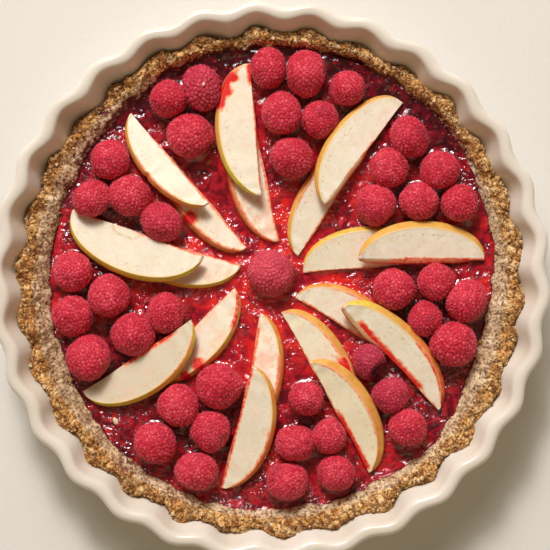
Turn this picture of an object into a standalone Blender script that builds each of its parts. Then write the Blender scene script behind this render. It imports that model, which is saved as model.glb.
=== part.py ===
"""A raspberry and apple tart in the fluted ceramic dish that it was baked in.

The dish is one fired piece. A crumbly crust is pressed into its flutes, a set fruit jelly fills the
crust, nine pairs of apple slices lie on the jelly like the spokes of a wheel, and raspberries stand
between them. Nothing moves: the tart rests in its dish, and the fruit rests on the jelly.

Lengths in this file are millimetres. add_object() is the one place that turns them into metres.
The origin is on the dish's axis, at the level that it stands on. +Z is up.
"""

import math

import bmesh
import bpy
from mathutils import Matrix, Vector

MM = 0.001

# Driving dimensions of the dish
RIM_RADIUS = 140.0  # crest of a flute at the rim
RIM_HEIGHT = 42.0
FOOT_RADIUS = 117.5
FLOOR_HEIGHT = 6.0  # top of the dish's floor
FLUTES = 30
FIRST_FLUTE = math.radians(9)  # bearing of one crest, from +X
FLUTE_SWING = 2.0  # how far the wall swings in and out of its mean radius
RIM_SHARE = 0.75  # the rim swings less than the wall
RIM_MEAN = RIM_RADIUS - FLUTE_SWING * RIM_SHARE
STEPS_PER_FLUTE = 6

# Driving dimensions of the tart
CLEARANCE = 0.6  # between solids that touch on the real tart
CRUST_TOP = 32.0
CRUST_FLOOR = 12.0
JELLY_TOP = 24.5
JELLY_EDGE = 116.0
REST_LEVEL = JELLY_TOP + 0.3  # where the fruit stands

# Sizes of the fruit
SLICE_SKIN = 5.5  # thickness of a slice at its skin
SLICE_CORE = 2.0  # and at its core side
SLICE_BULGE = 0.9  # how far the skin stands out beyond the two cut faces
SLICE_STEPS = 10
LAP_LIFT = 9.4  # rise of an outer slice's inner end, which lies on the inner slice
BERRY_SHARE = 0.82  # height of a berry over its mean width

DISH_GLAZE = (0.84, 0.78, 0.69)
CRUST_BROWN = (0.46, 0.29, 0.13)
JELLY_RED = (0.30, 0.012, 0.022)
APPLE_CREAM = (0.88, 0.80, 0.61)
BERRY_RED = (0.62, 0.05, 0.09)

# Each pair: the inner slice, then the outer slice that laps over it. A slice is its inner tip, its
# outer tip and its width. Its skin lies on the left on the way from the inner tip to the outer one.
SLICE_PAIRS = {
    "north": (((4.5, 20), (-9, 86), 18.5), ((-4.5, 42.5), (-10, 110), 19.5)),
    "northeast": (((14, 12.5), (49, 66), 17), ((27, 38.5), (67, 90), 18.5)),
    "east": (((16.5, 4.5), (80, 9.5), 20), ((44, 11.5), (108, 11), 18.5)),
    "southeast": (((12.5, -8), (62, -38), 18), ((36, -12.5), (85, -65), 17.5)),
    "south_southeast": (((5.5, -15.5), (37.5, -73), 18), ((19.5, -40), (50, -96.5), 18)),
    "south": (((-5, -16), (-16, -80), 16), ((-9, -42), (-25, -104), 18.5)),
    "southwest": (((-18, -3), (-64, -48), 18), ((-39.5, -19), (-94.5, -55.5), 20)),
    "west": (((-14.5, 8.5), (-77, 27), 19), ((-33, 12.5), (-99.5, 36.5), 22)),
    "northwest": (((-11.5, 17), (-50, 63), 15), ((-30.5, 39), (-70, 85), 15)),
}

# Each group of berries stands in the gap that its name says. A berry is its place, its width, its
# length and the bearing of its length in degrees.
BERRIES = {
    "centre": ((0, 4.5, 23, 23, 0),),
    "north": (
        (-1, 107, 18, 20, 90),
        (18, 104.5, 19.5, 23, 95),
        (38.5, 97, 17.5, 17.5, 0),
        (5.5, 84, 21, 21.5, 90),
        (24.5, 81.5, 18.5, 18.5, 0),
        (11, 62, 21, 21, 0),
    ),
    "northeast": (
        (69.5, 72.5, 18, 21.5, 110),
        (59.5, 57, 19, 19, 0),
        (85, 56, 19.5, 19.5, 0),
        (53, 38.5, 20, 20, 0),
        (74.5, 40.5, 19, 19, 0),
        (95, 39.5, 19, 19, 0),
    ),
    "east": (
        (62, -4, 21, 21, 0),
        (83, 0, 18.5, 18.5, 0),
        (98.5, -10, 19, 22, 50),
        (77.5, -18.5, 17, 17, 0),
        (92, -31.5, 22, 23, 0),
    ),
    "southeast": (
        (50, -40.5, 15.5, 21, 120),
        (60.5, -57.5, 18, 18, 0),
        (69, -73, 19, 19, 0),
    ),
    "south_southeast": (
        (18.5, -59, 17.5, 17.5, 0),
        (12.5, -81, 18.5, 18.5, 0),
        (29.5, -77.5, 18, 18, 0),
        (8.5, -100.5, 18, 22, 0),
        (33, -96, 18.5, 18.5, 0),
    ),
    "south": (
        (-25.5, -52, 22, 22, 0),
        (-46, -62.5, 20, 21, 90),
        (-30, -75, 20, 20, 0),
        (-58, -81, 21, 21, 0),
        (-37, -95, 19, 21.5, 0),
    ),
    "southwest": (
        (-99, 5, 20, 20, 0),
        (-81, -7.5, 21, 21, 0),
        (-99, -17, 20.5, 20.5, 0),
        (-52.5, -16, 20, 20, 0),
        (-69, -26, 21, 21, 0),
        (-91, -38, 22, 22, 0),
    ),
    "west": (
        (-80, 61, 19.5, 19.5, 0),
        (-89.5, 42, 19, 19, 0),
        (-70.5, 43, 20.5, 20.5, 0),
        (-54, 29.7, 18, 22.5, 155),
    ),
    "northwest": (
        (-51, 91.5, 19.5, 19.5, 0),
        (-34.5, 97, 19, 22.5, 100),
        (-40.5, 72.5, 22, 22, 0),
    ),
}

# Neighbours that the jelly holds in one lump: the second berry of each is joined to the first.
STUCK_PAIRS = {
    "north": (4, 5),
    "west": (2, 3),
    "south_southeast": (2, 3),
    "southwest": (4, 5),
    "northwest": (1, 2),
}


def principled(name, colour, roughness):
    """A plain material of one colour."""
    material = bpy.data.materials.new(name)
    material.use_nodes = True
    shader = material.node_tree.nodes["Principled BSDF"]
    shader.inputs["Base Color"].default_value = (*colour, 1.0)
    shader.inputs["Roughness"].default_value = roughness
    shader.inputs["Metallic"].default_value = 0.0
    return material


def add_object(name, bm, material, matrix=None):
    """The bmesh, drawn in millimetres, as a named object in metres."""
    bmesh.ops.recalc_face_normals(bm, faces=bm.faces)
    bmesh.ops.scale(bm, vec=(MM, MM, MM), verts=bm.verts)
    mesh = bpy.data.meshes.new(name)
    bm.to_mesh(mesh)
    bm.free()
    mesh.shade_smooth()
    mesh.set_sharp_from_angle(angle=math.radians(40))
    obj = bpy.data.objects.new(name, mesh)
    bpy.context.scene.collection.objects.link(obj)
    obj.data.materials.append(material)
    if matrix is not None:
        place = matrix.copy()
        place.translation *= MM
        obj.matrix_world = place
    return obj


def turned(profile, steps):
    """A solid turned about Z from (radius, height) points that start and end on the axis."""
    bm = bmesh.new()
    line = [bm.verts.new((radius, 0, height)) for radius, height in profile]
    edges = [bm.edges.new(pair) for pair in zip(line, line[1:])]
    bmesh.ops.spin(
        bm,
        geom=line + edges,
        cent=(0, 0, 0),
        axis=(0, 0, 1),
        angle=math.tau,
        steps=steps,
        use_merge=True,
    )
    bmesh.ops.remove_doubles(bm, verts=bm.verts, dist=0.001)
    return bm


def between(table, height):
    """The value at this height of a table of (height, value) points, which rise in height."""
    for (low, first), (high, second) in zip(table, table[1:]):
        if height <= high:
            share = max(0.0, (height - low) / (high - low))
            return first + (second - first) * share
    return table[-1][1]


# The inside of the wall: its mean radius, and the share of the flutes' swing, at each height
WALL_INSIDE = ((FLOOR_HEIGHT, 112.0), (7.0, 115.8), (11.0, 119.2), (38.0, 131.2))
SHARE_INSIDE = ((FLOOR_HEIGHT, 0.0), (7.0, 0.25), (11.0, 1.0), (38.0, 1.0), (41.0, RIM_SHARE))
SHARE_OUTSIDE = ((0.0, 0.0), (1.8, 0.1), (13.0, 1.0), (36.0, 1.0), (38.0, RIM_SHARE))


def flute(bm, share_at):
    """Swings the turned solid's wall in and out. share_at gives the share at (radius, height)."""
    for vert in bm.verts:
        radius = math.hypot(vert.co.x, vert.co.y)
        if radius < FOOT_RADIUS - 10:
            continue
        bearing = math.atan2(vert.co.y, vert.co.x)
        wave = math.cos(FLUTES * (bearing - FIRST_FLUTE))
        swing = FLUTE_SWING * share_at(radius, vert.co.z) * wave
        vert.co.x *= (radius + swing) / radius
        vert.co.y *= (radius + swing) / radius


def build_dish(material):
    """One fired piece: a foot ring, a floor, a fluted flaring wall and a rounded rim."""
    underside = [(0, 1.2), (110.5, 1.2), (112.0, 0), (FOOT_RADIUS, 0), (120.0, 1.8)]
    outside = [(125.0, 13.0), (135.2, 36.0), (RIM_MEAN - 0.3, 38.0), (RIM_MEAN, 40.2)]
    rim = [(RIM_MEAN - 2.4, RIM_HEIGHT), (RIM_MEAN - 5.6, 41.0)]
    inside = [(radius, height) for height, radius in reversed(WALL_INSIDE)]
    bm = turned(underside + outside + rim + inside + [(0, FLOOR_HEIGHT)], FLUTES * STEPS_PER_FLUTE)

    def share_at(radius, height):
        # The outside of the wall leans out, so at any height it is the side further than this line
        outer = radius > between(WALL_INSIDE, height) + 2.0
        return between(SHARE_OUTSIDE if outer else SHARE_INSIDE, height)

    flute(bm, share_at)
    return add_object("tart_dish", bm, material)


def build_crust(material):
    """The baked case: its outside follows the flutes, and its inside is a plain bowl."""
    outside = [
        (between(WALL_INSIDE, height) - CLEARANCE, height)
        for height in (FLOOR_HEIGHT + CLEARANCE, 7.4, 11.4, CRUST_TOP - 2.0)
    ]
    top = [(126.3, CRUST_TOP - 0.4), (122.5, CRUST_TOP), (119.3, CRUST_TOP - 2.0)]
    bowl = [(JELLY_EDGE, JELLY_TOP), (112.0, 14.0), (109.0, CRUST_FLOOR), (0, CRUST_FLOOR)]
    profile = [(0, FLOOR_HEIGHT + CLEARANCE), *outside, *top, *bowl]
    bm = turned(profile, FLUTES * STEPS_PER_FLUTE)

    def share_at(radius, height):
        pressed = radius > between(WALL_INSIDE, height) - 4.0
        return between(SHARE_INSIDE, height) if pressed else 0.0

    flute(bm, share_at)
    return add_object("crust", bm, material)


def build_jelly(material):
    """The set fruit jelly, which fills the crust nearly to its top."""
    base = CRUST_FLOOR + CLEARANCE
    side = [(108.6, base), (111.4, 14.4), (JELLY_EDGE - CLEARANCE, JELLY_TOP)]
    return add_object("fruit_jelly", turned([(0, base), *side, (0, JELLY_TOP)], 90), material)


def slice_mesh(length, width):
    """A wedge cut lengthwise from an apple: two flat faces that open towards the bulging skin.

    Its core side lies along X, and its skin is half an ellipse round that chord.
    """
    bm = bmesh.new()
    layers = []
    for level in (0, 0.5, 1):
        layer = []
        bulge = SLICE_BULGE if level == 0.5 else 0.0
        for i in range(SLICE_STEPS + 1):
            turn = math.pi * i / SLICE_STEPS
            depth = math.sin(turn)
            thickness = SLICE_CORE + (SLICE_SKIN - SLICE_CORE) * depth
            x = (length / 2 + bulge * depth) * math.cos(turn)
            y = (width + bulge) * depth
            layer.append(bm.verts.new((x, y, thickness * level)))
        layers.append(layer)
    bm.faces.new(layers[0])
    bm.faces.new(layers[-1])
    for lower, upper in zip(layers, layers[1:]):
        for i in range(len(lower)):
            j = (i + 1) % len(lower)
            bm.faces.new((lower[i], lower[j], upper[j], upper[i]))
    return bm


def slice_matrix(inner_tip, outer_tip, lift):
    """Lays the slice's core side between its tips, with the inner tip raised by lift."""
    inner_tip = Vector((*inner_tip, REST_LEVEL + lift))
    outer_tip = Vector((*outer_tip, REST_LEVEL))
    along = (outer_tip - inner_tip).normalized()
    across = Vector((0, 0, 1)).cross(along).normalized()
    matrix = Matrix((along, across, along.cross(across))).transposed().to_4x4()
    matrix.translation = (inner_tip + outer_tip) / 2
    return matrix


def build_slices(material):
    """Nine pairs of slices. In each pair the outer slice laps over the inner one."""
    for place, pair in SLICE_PAIRS.items():
        for layer, (inner_tip, outer_tip, width) in zip(("inner", "outer"), pair):
            lift = LAP_LIFT if layer == "outer" else 0.0
            chord = (Vector(outer_tip) - Vector(inner_tip)).length
            bm = slice_mesh(math.hypot(chord, lift), width)
            matrix = slice_matrix(inner_tip, outer_tip, lift)
            add_object(f"apple_slice_{place}_{layer}", bm, material, matrix)


def berry_object(name, berry, material):
    """A berry standing on the flat ring of its open end, with its rounded tip up."""
    x, y, width, length, bearing = berry
    height = BERRY_SHARE * (width + length) / 2
    profile = [(0, 0), (0.74, 0), (1.0, 0.34), (0.87, 0.68), (0.48, 0.93), (0, 1.0)]
    bm = turned([(radius, level * height) for radius, level in profile], 10)
    bmesh.ops.scale(bm, vec=(length / 2, width / 2, 1), verts=bm.verts)
    matrix = Matrix.Translation((x, y, REST_LEVEL)) @ Matrix.Rotation(math.radians(bearing), 4, "Z")
    return add_object(name, bm, material, matrix)


def join(first, second):
    """Joins second into first, and leaves second in the scene as the union's guide."""
    union = first.modifiers.new("stuck_together", "BOOLEAN")
    union.operation = "UNION"
    union.solver = "EXACT"
    union.object = second
    second.hide_render = True
    second.display_type = "WIRE"


def build_berries(material):
    """One object for each berry, and one for each pair that the jelly holds in one lump."""
    for place, group in BERRIES.items():
        stuck = STUCK_PAIRS.get(place, ())
        for number, berry in enumerate(group, start=1):
            if number in stuck:
                continue
            berry_object(f"raspberry_{place}_{number}", berry, material)
        if stuck:
            first, second = (group[number - 1] for number in stuck)
            name = f"raspberry_{place}_{stuck[0]}_and_{stuck[1]}"
            join(
                berry_object(name, first, material),
                berry_object(f"joined_{name}", second, material),
            )


def main():
    for obj in list(bpy.data.objects):
        bpy.data.objects.remove(obj)
    build_dish(principled("cream_glaze", DISH_GLAZE, 0.22))
    build_crust(principled("baked_crust", CRUST_BROWN, 0.9))
    build_jelly(principled("fruit_jelly", JELLY_RED, 0.12))
    build_slices(principled("apple", APPLE_CREAM, 0.45))
    build_berries(principled("raspberry", BERRY_RED, 0.5))


main()
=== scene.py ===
"""The looks of a raspberry and apple tart in its fluted dish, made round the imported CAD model.

Every place and size comes from the CAD nodes. Shapes are worked out in millimetres with numpy, and
add_piece() turns them into Blender objects in metres.
"""

import itertools
import math

import bmesh
import bpy
import numpy as np
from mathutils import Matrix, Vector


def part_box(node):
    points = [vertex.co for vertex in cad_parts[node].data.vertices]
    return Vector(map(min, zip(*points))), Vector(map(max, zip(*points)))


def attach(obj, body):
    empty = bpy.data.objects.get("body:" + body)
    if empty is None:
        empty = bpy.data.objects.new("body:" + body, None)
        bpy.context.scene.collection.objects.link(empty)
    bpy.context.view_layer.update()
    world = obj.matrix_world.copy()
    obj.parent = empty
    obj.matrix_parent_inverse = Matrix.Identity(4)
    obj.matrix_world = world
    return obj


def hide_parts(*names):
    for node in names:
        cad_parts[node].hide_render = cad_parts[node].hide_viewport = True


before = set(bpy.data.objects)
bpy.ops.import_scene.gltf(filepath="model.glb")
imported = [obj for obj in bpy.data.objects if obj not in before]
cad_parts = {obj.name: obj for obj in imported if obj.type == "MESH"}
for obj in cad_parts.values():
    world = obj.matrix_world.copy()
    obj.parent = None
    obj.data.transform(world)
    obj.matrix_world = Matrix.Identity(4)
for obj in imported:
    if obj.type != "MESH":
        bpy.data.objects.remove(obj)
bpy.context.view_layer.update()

MM = 0.001


# --- points, noise and meshes


def node_points(node):
    """The corners of a CAD node in millimetres, each listed once."""
    points = np.array([vert.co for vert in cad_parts[node].data.vertices]) / MM
    return np.unique(np.round(points, 3), axis=0)


def smooth(low, high, value):
    """0 below low, 1 above high, and an S-curve between them."""
    share = np.clip((value - low) / (high - low), 0.0, 1.0)
    return share * share * (3 - 2 * share)


def polar(radius, bearing, height):
    """Points at these radii, bearings and heights."""
    return np.stack([radius * np.cos(bearing), radius * np.sin(bearing), height], axis=-1)


def unit(arrows):
    """The arrows, each made one long."""
    return arrows / np.linalg.norm(arrows, axis=-1, keepdims=True)


def level_turn(angle):
    """The rotation that takes the frame's axes to ones turned by an angle round the upright one."""
    cos, sin = math.cos(angle), math.sin(angle)
    return np.array([[cos, sin, 0], [-sin, cos, 0], [0, 0, 1]])


def scatter(cells, seed):
    """A random number from 0 to 1 for each row of whole numbers."""
    mixed = cells.astype(np.int64) @ np.array([73856093, 19349663, 83492791]) + seed * 2654435
    mixed = (mixed ^ (mixed >> 13)) * 1274126177 & 0xFFFFFFFF
    mixed = (mixed ^ (mixed >> 16)) * 2246822519 & 0xFFFFFFFF
    return ((mixed ^ (mixed >> 15)) & 0xFFFFFF) / 0xFFFFFF


def ripple(points, size, seed):
    """Smooth noise from -1 to 1, with bumps about as far apart as size."""
    base = np.floor(points / size)
    share = smooth(0, 1, points / size - base)
    total = np.zeros(len(points))
    for corner in itertools.product((0, 1), repeat=3):
        weight = np.prod(np.where(np.array(corner) > 0, share, 1 - share), axis=1)
        total += weight * scatter(base + corner, seed)
    return total * 2 - 1


def pebbles(points, size, seed):
    """For each point, its distance from the nearest of scattered centres and from the next, over size,
    and the nearest centre's own random number."""
    scaled = points / size
    base = np.floor(scaled)
    near = np.full(len(points), 9.0)
    following = near.copy()
    owner = np.zeros(len(points))
    for corner in itertools.product((-1, 0, 1), repeat=3):
        cell = base + corner
        centre = cell + np.stack([scatter(cell, seed + k) for k in range(3)], axis=1)
        away = np.linalg.norm(scaled - centre, axis=1)
        following = np.minimum(following, np.maximum(near, away))
        owner = np.where(away < near, scatter(cell, seed + 3), owner)
        near = np.minimum(near, away)
    return near, following, owner


def rounded(points, rounds=2):
    """The line with its corners cut, twice over for each round, and its ends kept."""
    line = np.array(points, float)
    for _ in range(rounds):
        first, second = line[:-1], line[1:]
        cut = np.stack([first * 0.75 + second * 0.25, first * 0.25 + second * 0.75], axis=1)
        line = np.concatenate([line[:1], cut.reshape(-1, line.shape[1]), line[-1:]])
    return line


def add_object(name, data):
    obj = bpy.data.objects.new(name, data)
    bpy.context.scene.collection.objects.link(obj)
    return obj


def add_piece(name, points, faces, material, node, tones=None, smooth_faces=True):
    """A mesh in millimetres as an object that stands for a CAD node. tones are values per point."""
    mesh = bpy.data.meshes.new(name)
    mesh.from_pydata((np.asarray(points, float) * MM).tolist(), [], faces)
    mesh.polygons.foreach_set("use_smooth", np.full(len(mesh.polygons), smooth_faces))
    for tone, values in (tones or {}).items():
        layer = mesh.attributes.new(tone, "FLOAT", "POINT")
        layer.data.foreach_set("value", np.full(len(points), values, np.float32))
    mesh.validate()
    mesh.update()
    mesh.materials.append(material)
    piece = add_object(name, mesh)
    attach(piece, "root")
    if node:
        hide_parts(node)


def add_bits(name, bits, material, smooth_faces=True):
    """Many small bodies, each with its points, triangles and looks, as one piece."""
    points = np.concatenate([body for body, _, _ in bits])
    starts = np.cumsum([0] + [len(body) for body, _, _ in bits])
    faces = [triangles + start for (_, triangles, _), start in zip(bits, starts)]
    tones = {}
    for tone in bits[0][2]:
        tones[tone] = np.concatenate([np.full(len(body), looks[tone]) for body, _, looks in bits])
    add_piece(name, points, np.concatenate(faces).tolist(), material, None, tones, smooth_faces)


def tube_faces(rings, steps, flipped=False):
    """Quads between rings of points that go round, ring after ring, and a face over each end."""
    i = np.arange(rings - 1)[:, None] * steps
    j = np.arange(steps)[None, :]
    k = (j + 1) % steps
    faces = np.stack([i + j, i + k, i + steps + k, i + steps + j], axis=-1).reshape(-1, 4).tolist()
    last = (rings - 1) * steps
    faces += [list(range(steps))[::-1], list(range(last, last + steps))]
    return [face[::-1] for face in faces] if flipped else faces


# --- materials


class Nodes:
    """A tree of shader nodes and a short way to add to it."""

    def __init__(self, tree):
        self.tree = tree

    def set(self, socket, value):
        """Links an output to the socket, or gives it a plain value."""
        if isinstance(value, bpy.types.NodeSocket):
            self.tree.links.new(value, socket)
        elif socket.type == "RGBA":
            socket.default_value = (*value, 1.0)
        else:
            socket.default_value = value

    def node(self, kind, output, inputs=None, **settings):
        """Adds a node with these inputs and settings, and returns one of its outputs."""
        node = self.tree.nodes.new("ShaderNode" + kind)
        for name, value in settings.items():
            setattr(node, name, value)
        for name, value in (inputs or {}).items():
            self.set(node.inputs[name], value)
        return node.outputs[output]


class Shader(Nodes):
    """A Principled material. Sizes and depths are in millimetres."""

    def __init__(self, name, **values):
        self.material = bpy.data.materials.new(name)
        self.material.use_nodes = True
        super().__init__(self.material.node_tree)
        self.main = self.tree.nodes["Principled BSDF"]
        self.place = self.node("TexCoord", "Object")
        self.finish(**values)

    def tone(self, name):
        """A value that the mesh holds at each point."""
        return self.node("Attribute", "Fac", attribute_name=name)

    def noise(self, size, detail=3.0, rough=0.5, warp=0.0):
        """Noise from 0 to 1 with features of about this size."""
        looks = {"Detail": detail, "Roughness": rough, "Distortion": warp}
        return self.node("TexNoise", "Fac", {"Vector": self.place, "Scale": 1 / (size * MM), **looks})

    def cells(self, size):
        """The distance from the nearest of scattered dots, about this far apart."""
        return self.node("TexVoronoi", "Distance", {"Vector": self.place, "Scale": 1 / (size * MM)})

    def span(self, value, low, high, out_low=0.0, out_high=1.0):
        """The value's range from low to high, stretched to another range and clamped."""
        inputs = {"Value": value, "From Min": low, "From Max": high, "To Min": out_low, "To Max": out_high}
        return self.node("MapRange", "Result", inputs, interpolation_type="SMOOTHSTEP")

    def ragged(self, name, noise, swing, low=0.3, high=0.7):
        """A value that the mesh holds, with noise of up to swing added to it or taken away."""
        return self.plus(self.tone(name), self.span(noise, low, high, -swing, swing))

    def plus(self, first, second):
        return self.node("Math", "Value", {0: first, 1: second}, operation="ADD")

    def times(self, first, second):
        return self.node("Math", "Value", {0: first, 1: second}, operation="MULTIPLY")

    def blend(self, share, first, second):
        """The second colour over the first, by share. A mix node's sockets 6 and 7 are its colours."""
        return self.node("Mix", 2, {0: share, 6: first, 7: second}, data_type="RGBA")

    def ramp(self, value, colour, *stops):
        """The colour, then each stop's (low, high, colour) over it as the value goes from low to high."""
        for low, high, over in stops:
            colour = self.blend(self.span(value, low, high), colour, over)
        return colour

    def paint(self, colour, *coats):
        """The colour, then each coat's (share, strength, colour) over it."""
        for share, strength, over in coats:
            colour = self.blend(self.times(share, strength) if strength < 1 else share, colour, over)
        return colour

    def bump(self, height, strength, depth, layer="Normal"):
        """Adds relief on top of the relief that the layer already has."""
        inputs = {"Strength": strength, "Distance": depth * MM, "Height": height}
        normal = self.main.inputs[layer]
        if normal.is_linked:
            inputs["Normal"] = normal.links[0].from_socket
        self.set(normal, self.node("Bump", "Normal", inputs))

    def finish(self, **values):
        for socket, value in values.items():
            self.set(self.main.inputs[socket.replace("_", " ")], value)
        return self.material


def glaze_material():
    """Warm cream glaze over stoneware, with a bare foot ring."""
    mat = Shader("cream_glaze", IOR=1.5, Specular_IOR_Level=0.38)
    bare = mat.tone("bare")
    dot = mat.times(mat.span(mat.cells(9), 0.045, 0.02), mat.span(mat.noise(40), 0.5, 0.6))
    colour = mat.paint(
        mat.ramp(mat.noise(38, 2.0), (0.76, 0.685, 0.595), (0.35, 0.7, (0.83, 0.76, 0.68))),
        # Browner where the glaze thins over the rim's top and the outer flutes' ridges; inside the wall the
        # same mark is painted shade in the flute hollows
        (mat.tone("thin_glaze_and_flute_shade"), 0.3, (0.66, 0.51, 0.34)),
        (dot, 0.6, (0.30, 0.17, 0.08)),
        (bare, 1, (0.56, 0.42, 0.28)),
    )
    mat.bump(mat.noise(0.45, 4.0), 0.2, 0.04)
    mat.bump(mat.noise(6, 1.0), 0.35, 0.16)
    rough = mat.span(bare, 0.0, 1.0, 0.24, 0.85)
    return mat.finish(Base_Color=colour, Roughness=rough, Coat_Weight=0.12, Coat_Roughness=0.1)


def crust_material():
    """Baked nut and oat crumb: caramel on top, pale and specked inside, stained at its foot, with painted
    shade in its cracks and crevices.
    """
    mat = Shader("baked_crumb")
    grain = mat.noise(1.0, 5.0, 0.7, 0.4)
    bake = mat.span(mat.noise(4.0, 3.0, 0.55, 0.6), 0.32, 0.68, -0.35, 0.35)
    tint = mat.plus(mat.ragged("tint", grain, 0.55), bake)
    golden = mat.ramp(
        tint,
        (0.20, 0.060, 0.014),
        (-0.2, 0.35, (0.70, 0.31, 0.080)),
        (0.35, 0.8, (0.93, 0.54, 0.185)),
        (0.8, 1.3, (0.97, 0.77, 0.47)),
    )
    pale = mat.ramp(tint, (0.34, 0.18, 0.095), (-0.2, 0.4, (0.74, 0.50, 0.29)))
    pale = mat.ramp(tint, pale, (0.4, 1.1, (0.92, 0.71, 0.47)))
    # Painted shade in cracks over the rough part of the crust
    painted_crack_shade = mat.times(mat.span(mat.noise(2.6, 4.0, 0.6, 1.2), 0.44, 0.36), mat.tone("rough"))
    soak = mat.ragged("soak", mat.noise(2.2, 4.0), 0.35)
    colour = mat.paint(
        mat.ramp(mat.ragged("toast", mat.noise(6), 0.3), pale, (0.25, 0.75, golden)),
        (mat.span(mat.noise(1.4, 2.0, 0.5, 0.5), 0.56, 0.61), 0.85, (0.15, 0.050, 0.016)),
        (painted_crack_shade, 0.7, (0.14, 0.045, 0.012)),
        # Painted shade in the crevices between chunks
        (mat.tone("painted_crevice_shade"), 0.75, (0.11, 0.035, 0.010)),
        (mat.span(soak, 0.3, 0.8), 1, (0.14, 0.016, 0.020)),
    )
    mat.bump(grain, 1.0, 0.5)
    rough = mat.span(soak, 0.3, 0.8, 0.85, 0.35)
    return mat.finish(Base_Color=colour, Roughness=rough, Specular_IOR_Level=0.3)


def crumb_material():
    """Loose crumbs and chopped nuts, each a little different."""
    mat = Shader("loose_crumb")
    grain = mat.noise(0.5, 4.0)
    colour = mat.ramp(
        mat.tone("tint"),
        (0.22, 0.085, 0.025),
        (0.0, 0.35, (0.52, 0.27, 0.085)),
        (0.35, 0.7, (0.78, 0.47, 0.19)),
        (0.75, 1.0, (0.95, 0.74, 0.45)),
    )
    colour = mat.paint(
        colour,
        (mat.span(grain, 0.35, 0.65, 0.45, 0.0), 1, (0.16, 0.06, 0.02)),
        (mat.tone("soak"), 1, (0.14, 0.012, 0.016)),
    )
    mat.bump(grain, 0.6, 0.2)
    return mat.finish(Base_Color=colour, Roughness=0.75, Specular_IOR_Level=0.35)


def jelly_material():
    """Deep red set jelly: wet, clear over dark pulp, brighter towards the middle, with painted shadow along
    its far edge.
    """
    mat = Shader("red_jelly", IOR=1.4)
    # The tone runs from dark to bright red; its lowest values are painted shadow along the far (north) edge
    colour = mat.ramp(
        mat.ragged("red_tone_and_shadow", mat.noise(7, 4.0, 0.6, 1.0), 0.5),
        (0.05, 0.001, 0.006),
        (-0.7, -0.15, (0.16, 0.002, 0.012)),
        (-0.1, 0.5, (0.46, 0.008, 0.021)),
        (0.5, 1.0, (0.74, 0.020, 0.016)),
    )
    pulp = mat.times(mat.span(mat.cells(2.4), 0.12, 0.42, 1.0, 0.0), mat.span(mat.noise(5), 0.44, 0.62))
    colour = mat.paint(colour, (pulp, 0.6, (0.72, 0.024, 0.030)))
    lumpy = mat.span(mat.noise(14, 2.0), 0.42, 0.60, 0.1, 1.0)
    lumpy = mat.times(lumpy, mat.span(mat.tone("red_tone_and_shadow"), -0.45, 0.0, 0.15, 1.0))
    mat.bump(mat.times(mat.noise(1.9, 3.0, 0.55), lumpy), 0.5, 0.9)
    # The wet skin over it has larger, smoother dents, which catch the window as small glints
    mat.bump(mat.times(mat.noise(2.4, 1.0, 0.5, 0.8), lumpy), 1.0, 1.7, "Coat Normal")
    return mat.finish(
        Base_Color=colour, Roughness=0.35, Specular_IOR_Level=0.1, Coat_Weight=1.0,
        Coat_Roughness=0.02, Coat_IOR=1.7, Subsurface_Weight=0.2,
        Subsurface_Radius=(1.0, 0.12, 0.08), Subsurface_Scale=0.003,
    )


def berry_material():
    """Downy raspberry: soft crimson with pink ridges, wine-dark patches, and shallow creases darkened with
    painted shade.
    """
    mat = Shader("raspberry_skin", IOR=1.4)
    curls = mat.noise(0.75, 3.0, 0.6, 1.5)
    body = mat.ramp(
        mat.ragged("tint", curls, 0.72, 0.34, 0.66),
        (0.38, 0.004, 0.020),
        (-0.2, 0.7, (0.82, 0.029, 0.064)),
        (0.75, 1.35, (0.96, 0.18, 0.24)),
    )
    # Painted shade, patchy, over a berry's hollow end
    painted_hollow_shade = mat.times(mat.tone("painted_hollow_shade"), mat.span(curls, 0.36, 0.56, 0.45, 1.0))
    colour = mat.paint(
        body,
        (mat.span(mat.noise(8, 2.0), 0.56, 0.76), 0.5, (0.28, 0.010, 0.045)),
        # Painted shade in the creases between drupelets, where the domes are low
        (mat.span(mat.tone("dome"), 0.0, 0.8, 0.68, 0.0), 1, (0.36, 0.005, 0.020)),
        (mat.tone("dull"), 1, (0.22, 0.018, 0.070)),
        (mat.tone("bloom"), 1, (0.74, 0.12, 0.18)),
        (painted_hollow_shade, 1, (0.045, 0.003, 0.016)),
    )
    mat.bump(curls, 0.9, 0.4)
    return mat.finish(
        Base_Color=colour, Roughness=0.5, Specular_IOR_Level=0.35, Subsurface_Weight=0.1,
        Subsurface_Radius=(1.0, 0.2, 0.15), Subsurface_Scale=0.0012, Sheen_Weight=0.22,
        Sheen_Roughness=0.35, Sheen_Tint=(1.0, 0.42, 0.52),
    )


def down_material():
    """The fine hairs on a raspberry."""
    mat = Shader("raspberry_hair")
    colour = mat.blend(mat.noise(1.0), (0.85, 0.16, 0.20), (0.97, 0.52, 0.52))
    return mat.finish(Base_Color=colour, Roughness=0.5)


def flake_material():
    """Pale oat flakes and seeds."""
    mat = Shader("oat_and_seed")
    grain = mat.noise(0.7, 4.0)
    colour = mat.ramp(grain, (0.62, 0.40, 0.20), (0.35, 0.65, (0.93, 0.76, 0.55)))
    colour = mat.paint(colour, (mat.tone("soak"), 1, (0.40, 0.02, 0.02)))
    mat.bump(grain, 0.5, 0.15)
    return mat.finish(Base_Color=colour, Roughness=0.45)


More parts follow.
